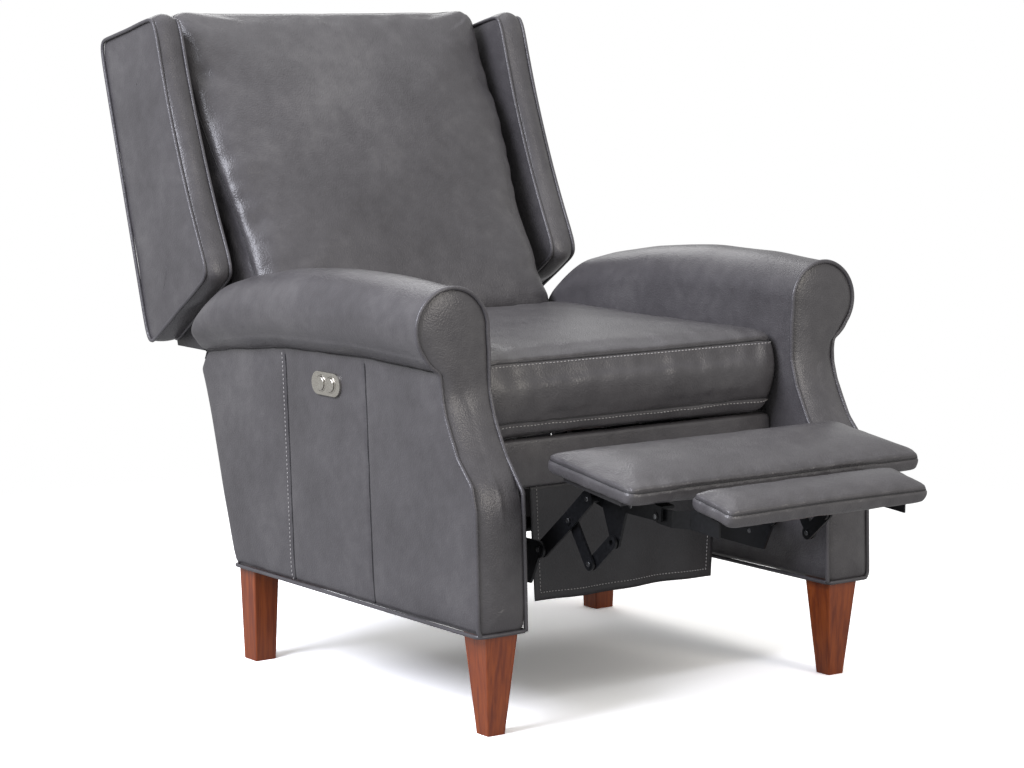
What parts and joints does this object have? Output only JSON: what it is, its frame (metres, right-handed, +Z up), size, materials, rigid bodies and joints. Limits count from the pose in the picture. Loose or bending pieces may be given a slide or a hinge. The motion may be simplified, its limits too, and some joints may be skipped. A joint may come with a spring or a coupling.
{
  "type": "power recliner",
  "caption": "Wing-back leather armchair with rolled arms, a reclining back and a two-stage linkage footrest, on tapered wooden legs.",
  "frame": {"origin": "on the floor, under the middle of the whole outline with the footrest out", "axes": "+Z up, +Y to the back of the chair, +X to the right as seen from in front"},
  "size_m": [0.8304, 1.4188, 1.0258],
  "materials": {
    "leather": "semi-matte grained",
    "cherry_wood": "satin lacquer",
    "frame_wood": "raw",
    "black_steel": "satin black",
    "spring_steel": "bare",
    "nickel": "satin nickel",
    "motor_plastic": "moulded"
  },
  "bodies": {
    "base": {"arm_left": "leather", "arm_right": "leather", "front_leg_left": "cherry_wood", "front_leg_right": "cherry_wood", "rear_leg_left": "cherry_wood", "rear_leg_right": "cherry_wood", "side_rail_left": "frame_wood", "side_rail_right": "frame_wood", "side_plate_left": "black_steel", "side_plate_right": "black_steel", "front_rail": "leather", "rear_rail": "frame_wood", "seat_springs": "spring_steel", "front_cross_tube": "black_steel", "rear_cross_tube": "black_steel", "front_flap": "leather", "rear_panel": "leather", "seat_cushion": "leather", "recline_shaft": "black_steel", "switch_plate": "nickel", "drive_motor": "motor_plastic", "drive_tube": "black_steel", "drive_saddle": "black_steel"},
    "back": {"back_bracket_left": "black_steel", "back_bracket_right": "black_steel", "wing_left": "leather", "wing_right": "leather", "back_post_left": "frame_wood", "back_post_right": "frame_wood", "back_cushion": "leather", "back_panel": "leather", "back_cap": "frame_wood", "back_top_rail": "frame_wood", "back_bottom_rail": "frame_wood"},
    "main_links": {"main_link_left": "black_steel", "main_link_right": "black_steel"},
    "braces": {"brace_link_left": "black_steel", "brace_link_right": "black_steel"},
    "guides": {"guide_link_left": "black_steel", "guide_link_right": "black_steel"},
    "footrest": {"pad_bracket_left": "black_steel", "pad_bracket_right": "black_steel", "footrest_pad": "leather", "footrest_board": "leather"},
    "extension": {"extension_arm_left": "black_steel", "extension_arm_right": "black_steel", "extension_pad": "leather"},
    "carriage": {"drive_carriage": "motor_plastic"},
    "recline_button": {"recline_button": "nickel"},
    "footrest_button": {"footrest_button": "nickel"}
  },
  "joints": [
    {"name": "back_recline", "type": "hinge", "parent": "base", "child": "back", "pos_m": [0, 0.35641, 0.43], "axis": [-1, 0, 0], "range_deg": [0, 30]},
    {"name": "footrest_fold", "type": "hinge", "parent": "base", "child": "main_links", "pos_m": [0, -0.32859, 0.254], "axis": [-1, 0, 0], "range_deg": [0, 56]},
    {"name": "pad_turn", "type": "hinge", "parent": "main_links", "child": "footrest", "pos_m": [0, -0.43359, 0.342], "axis": [1, 0, 0], "range_deg": [0, 138.8]},
    {"name": "brace_turn", "type": "hinge", "parent": "main_links", "child": "braces", "pos_m": [0, -0.39059, 0.305], "axis": [1, 0, 0], "range_deg": [0, 138.8]},
    {"name": "guide_turn", "type": "hinge", "parent": "braces", "child": "guides", "pos_m": [0, -0.43059, 0.247], "axis": [-1, 0, 0], "range_deg": [0, 138.8]},
    {"name": "extension_flip", "type": "hinge", "parent": "footrest", "child": "extension", "pos_m": [0, -0.56459, 0.334], "axis": [1, 0, 0], "range_deg": [0, 185.2]},
    {"name": "carriage_travel", "type": "slide", "parent": "base", "child": "carriage", "axis": [0, 1, 0], "range_m": [0, 0.1201]},
    {"name": "recline_button_press", "type": "slide", "parent": "base", "child": "recline_button", "axis": [1, 0, 0], "range_m": [0, 0.0015], "stiffness_N_per_m": 600},
    {"name": "footrest_button_press", "type": "slide", "parent": "base", "child": "footrest_button", "axis": [1, 0, 0], "range_m": [0, 0.0015], "stiffness_N_per_m": 600}
  ],
  "couplings": [
    {"joint": "pad_turn", "follows": "footrest_fold", "ratio": 2.475},
    {"joint": "brace_turn", "follows": "footrest_fold", "ratio": 2.475},
    {"joint": "guide_turn", "follows": "footrest_fold", "ratio": 2.475},
    {"joint": "extension_flip", "follows": "footrest_fold", "ratio": 3.3036},
    {"joint": "carriage_travel", "follows": "footrest_fold", "m_per_rad": 0.12278}
  ]
}
